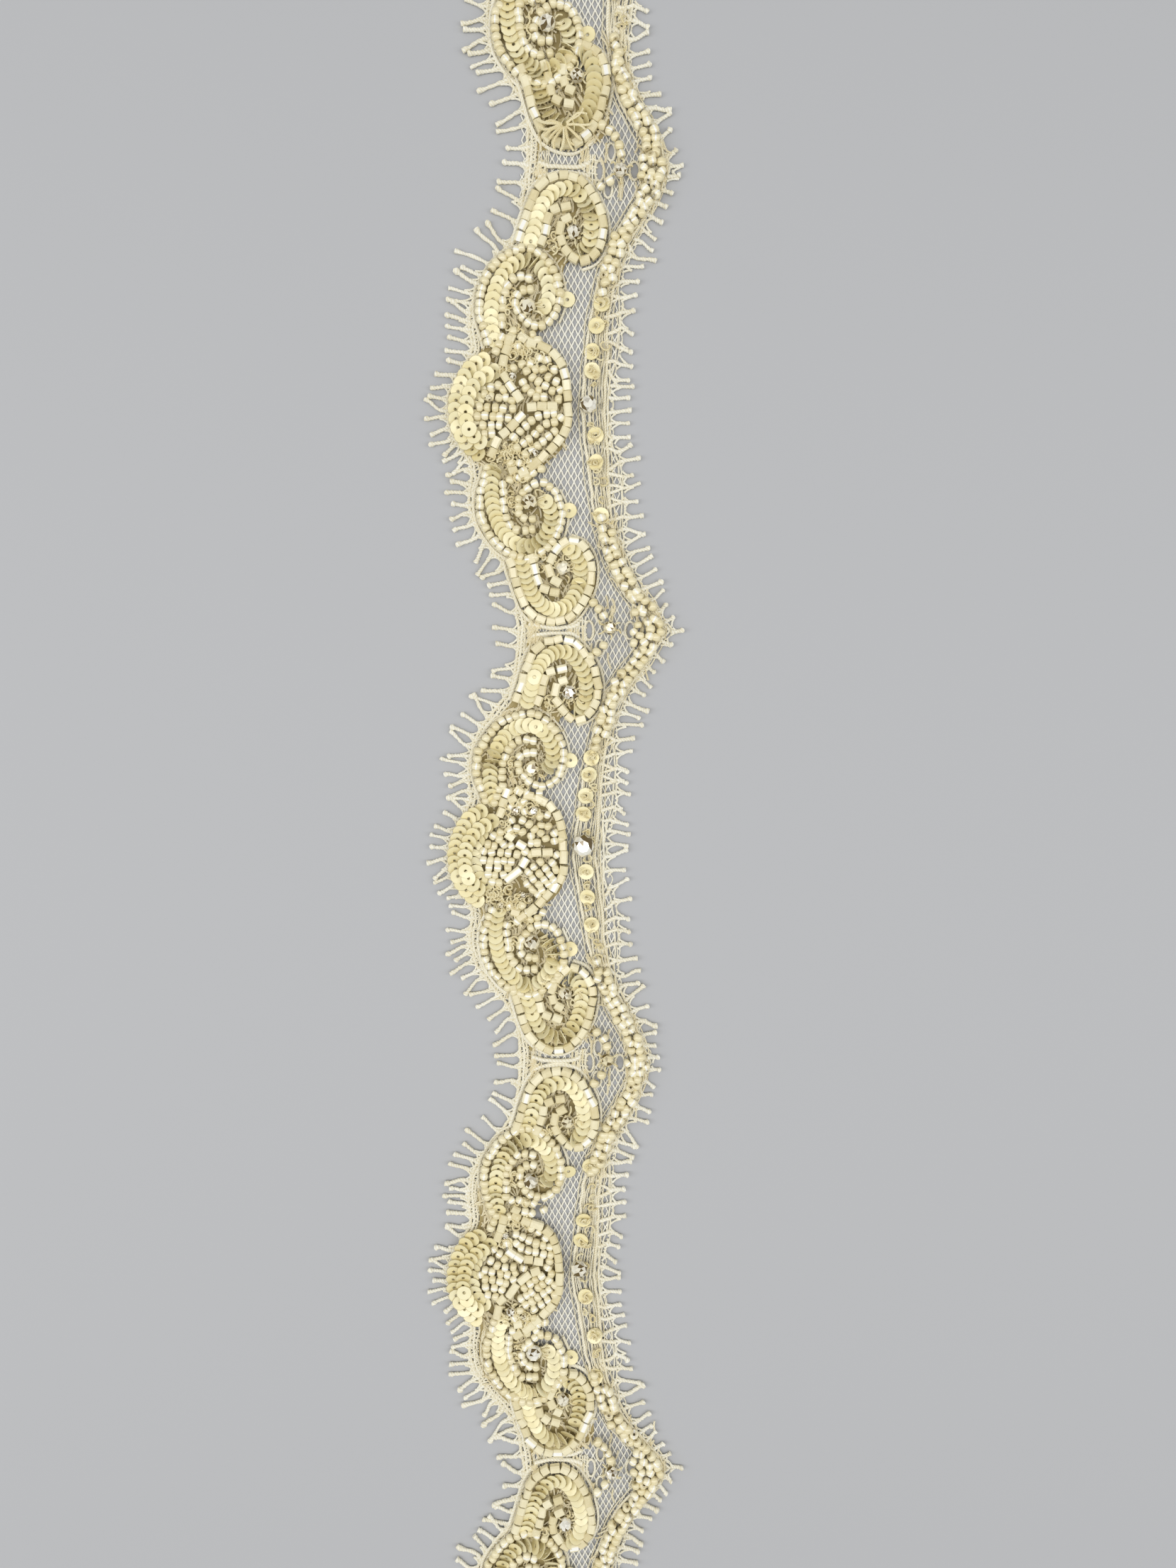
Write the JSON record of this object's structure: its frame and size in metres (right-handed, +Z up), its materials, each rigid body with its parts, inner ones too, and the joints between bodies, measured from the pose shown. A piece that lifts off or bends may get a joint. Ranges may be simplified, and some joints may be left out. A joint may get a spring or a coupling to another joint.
{
  "type": "beaded crystal lace trim",
  "caption": "Length of scalloped ivory lace trim with beaded scrolls and shells, cup sequins, sewn crystals, open net and a picot fringe along both edges, laid flat.",
  "frame": {"origin": "under the middle of the whole piece, on the surface that it lies on", "axes": "+Y along the length of the trim, +X across it towards the edge with the pointed peaks, +Z up from the surface, beaded side up"},
  "size_m": [0.0542, 0.3392, 0.0048],
  "materials": {
    "lace": "matt cotton and nylon net with a sheer backing",
    "picot_thread": "twisted matt cord",
    "gimp_thread": "couched satin thread",
    "beadwork": "pearled beads and satin cup sequins",
    "crystal": "clear faceted crystal with a foiled back"
  },
  "bodies": {
    "root": {"lace_ground": "lace", "fringe_left": "picot_thread", "fringe_right": "picot_thread", "side_scroll_a_low": "beadwork", "neck_scroll_a_low": "beadwork", "scroll_crystal_a_low": "crystal", "side_scroll_b_up": "beadwork", "neck_scroll_b_up": "beadwork", "scroll_crystal_b_up": "crystal", "side_scroll_b_low": "beadwork", "neck_scroll_b_low": "beadwork", "scroll_crystal_b_low": "crystal", "side_scroll_c_up": "beadwork", "neck_scroll_c_up": "beadwork", "scroll_crystal_c_up": "crystal", "side_scroll_c_low": "beadwork", "neck_scroll_c_low": "beadwork", "scroll_crystal_c_low": "crystal", "side_scroll_d_up": "beadwork", "neck_scroll_d_up": "beadwork", "scroll_crystal_d_up": "crystal", "side_scroll_d_low": "beadwork", "neck_scroll_d_low": "beadwork", "scroll_crystal_d_low": "crystal", "side_scroll_e_up": "beadwork", "neck_scroll_e_up": "beadwork", "scroll_crystal_e_up": "crystal", "shell_lobe_b": "beadwork", "shell_heart_b": "beadwork", "upper_leaf_b": "beadwork", "lower_leaf_b": "beadwork", "thread_band_b": "gimp_thread", "band_crystal_b": "crystal", "shell_lobe_c": "beadwork", "shell_heart_c": "beadwork", "upper_leaf_c": "beadwork", "lower_leaf_c": "beadwork", "thread_band_c": "gimp_thread", "band_crystal_c": "crystal", "shell_lobe_d": "beadwork", "shell_heart_d": "beadwork", "upper_leaf_d": "beadwork", "lower_leaf_d": "beadwork", "thread_band_d": "gimp_thread", "band_crystal_d": "crystal", "peak_rows_ab": "beadwork", "neck_crystal_ab": "crystal", "peak_rows_bc": "beadwork", "neck_crystal_bc": "crystal", "peak_rows_cd": "beadwork", "neck_crystal_cd": "crystal", "peak_rows_de": "beadwork", "neck_crystal_de": "crystal"}
  },
  "joints": []
}
